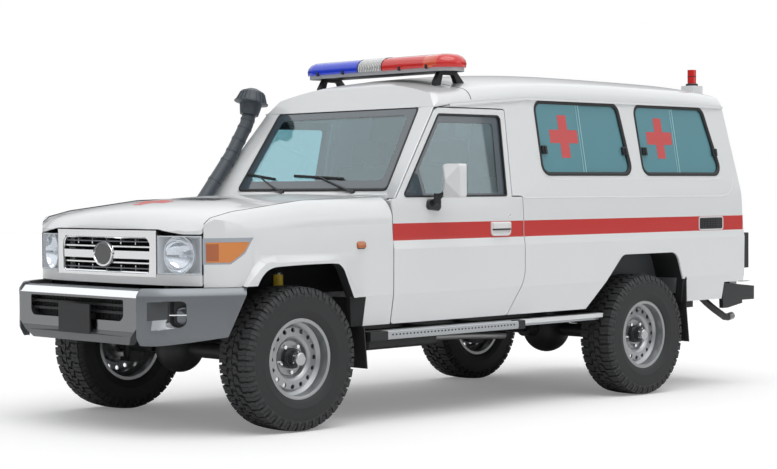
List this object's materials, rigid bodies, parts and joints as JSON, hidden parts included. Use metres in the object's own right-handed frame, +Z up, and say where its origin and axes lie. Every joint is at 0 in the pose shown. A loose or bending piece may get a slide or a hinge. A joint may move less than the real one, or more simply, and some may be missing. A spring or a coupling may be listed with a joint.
{
  "type": "long high-roof four-wheel-drive ambulance",
  "caption": "Hard-top four-wheel-drive ambulance with a roof light bar, air snorkel, side boards, paired rear doors and a spare wheel carried on the wider one.",
  "frame": {"origin": "On the ground, under the middle of the overall box, from the front bumper to the spare wheel.", "axes": "+X forward along the vehicle, +Y to its left, +Z up."},
  "size_m": [5.231, 2.138, 2.1537],
  "materials": {
    "white_paint": "gloss",
    "grey_paint": "satin",
    "chassis_black": "matte",
    "chrome": "polished",
    "silver_paint": "satin",
    "cast_metal": "rough",
    "tyre_rubber": "matte",
    "black_rubber": "matte",
    "black_plastic": "matte",
    "grey_plastic": "matte",
    "tinted_glass": "clear",
    "frosted_glass": "frosted",
    "lamp_glass": "clear",
    "amber_lens": "gloss",
    "red_lens": "gloss",
    "light_lens": "gloss",
    "seat_fabric": "woven"
  },
  "bodies": {
    "body": {"front_axle": "chassis_black", "rear_axle": "chassis_black", "ladder_frame": "chassis_black", "leaf_springs": "chassis_black", "driveline": "cast_metal", "fuel_tank": "chassis_black", "side_panel_left": "white_paint", "side_panel_right": "white_paint", "side_windows": "frosted_glass", "windscreen_frame": "white_paint", "windscreen": "tinted_glass", "roof_cab": "white_paint", "roof_rear": "white_paint", "floor": "grey_paint", "firewall": "white_paint", "rear_frame": "white_paint", "wing_left": "white_paint", "wing_right": "white_paint", "front_panel": "white_paint", "grille": "white_paint", "grille_bars": "chrome", "headlamps": "lamp_glass", "indicators": "amber_lens", "front_bumper": "chrome", "bumper_ends": "grey_paint", "rear_bumper": "chassis_black", "running_boards": "silver_paint", "mud_flaps": "black_rubber", "tail_lamps": "red_lens", "snorkel": "black_plastic", "light_bar": "black_plastic", "light_lenses": "light_lens", "beacon": "red_lens", "seats": "seat_fabric", "dashboard": "grey_plastic"},
    "door_left": {"door_left": "white_paint", "door_glass_left": "tinted_glass", "mirror_left": "white_paint"},
    "door_right": {"door_right": "white_paint", "door_glass_right": "tinted_glass", "mirror_right": "white_paint"},
    "rear_door_left": {"rear_door_left": "white_paint", "rear_glass_left": "frosted_glass"},
    "rear_door_right": {"rear_door_right": "white_paint", "rear_glass_right": "frosted_glass", "spare_tyre": "tyre_rubber", "spare_rim": "silver_paint", "spare_carrier": "chassis_black"},
    "bonnet": {"bonnet": "white_paint"},
    "knuckle_left": {"knuckle_left": "cast_metal"},
    "knuckle_right": {"knuckle_right": "cast_metal"},
    "wheel_front_left": {"tyre_front_left": "tyre_rubber", "rim_front_left": "silver_paint"},
    "wheel_front_right": {"tyre_front_right": "tyre_rubber", "rim_front_right": "silver_paint"},
    "wheel_rear_left": {"tyre_rear_left": "tyre_rubber", "rim_rear_left": "silver_paint"},
    "wheel_rear_right": {"tyre_rear_right": "tyre_rubber", "rim_rear_right": "silver_paint"}
  },
  "joints": [
    {"name": "wheel_front_left_spin", "type": "hinge", "parent": "knuckle_left", "child": "wheel_front_left", "pos_m": [1.75021, 0.7575, 0.388], "axis": [0, 1, 0], "continuous": true},
    {"name": "wheel_front_right_spin", "type": "hinge", "parent": "knuckle_right", "child": "wheel_front_right", "pos_m": [1.75021, -0.7575, 0.388], "axis": [0, 1, 0], "continuous": true},
    {"name": "wheel_rear_left_spin", "type": "hinge", "parent": "body", "child": "wheel_rear_left", "pos_m": [-1.22979, 0.73, 0.388], "axis": [0, 1, 0], "continuous": true},
    {"name": "wheel_rear_right_spin", "type": "hinge", "parent": "body", "child": "wheel_rear_right", "pos_m": [-1.22979, -0.73, 0.388], "axis": [0, 1, 0], "continuous": true},
    {"name": "steer_left", "type": "hinge", "parent": "body", "child": "knuckle_left", "pos_m": [1.75021, 0.6655, 0.388], "axis": [0, 0, 1], "range_deg": [-28, 28]},
    {"name": "door_left_hinge", "type": "hinge", "parent": "body", "child": "door_left", "pos_m": [1.0508, 0.858, 0.9106], "axis": [-0.015, 0, -0.9999], "range_deg": [0, 68]},
    {"name": "rear_door_left_hinge", "type": "hinge", "parent": "body", "child": "rear_door_left", "pos_m": [-2.30432, 0.753, 1.06098], "axis": [-0.015, 0, -0.9999], "range_deg": [0, 90]},
    {"name": "steer_right", "type": "hinge", "parent": "body", "child": "knuckle_right", "pos_m": [1.75021, -0.6655, 0.388], "axis": [0, 0, 1], "range_deg": [-28, 28]},
    {"name": "door_right_hinge", "type": "hinge", "parent": "body", "child": "door_right", "pos_m": [1.0508, -0.858, 0.9106], "axis": [0.015, 0, 0.9999], "range_deg": [0, 68]},
    {"name": "rear_door_right_hinge", "type": "hinge", "parent": "body", "child": "rear_door_right", "pos_m": [-2.30432, -0.753, 1.06098], "axis": [0.015, 0, 0.9999], "range_deg": [0, 90]},
    {"name": "bonnet_hinge", "type": "hinge", "parent": "body", "child": "bonnet", "pos_m": [0.9753, 0, 1.27777], "axis": [0, -1, 0], "range_deg": [0, 48]}
  ],
  "couplings": [
    {"joint": "steer_right", "follows": "steer_left", "ratio": 1}
  ]
}
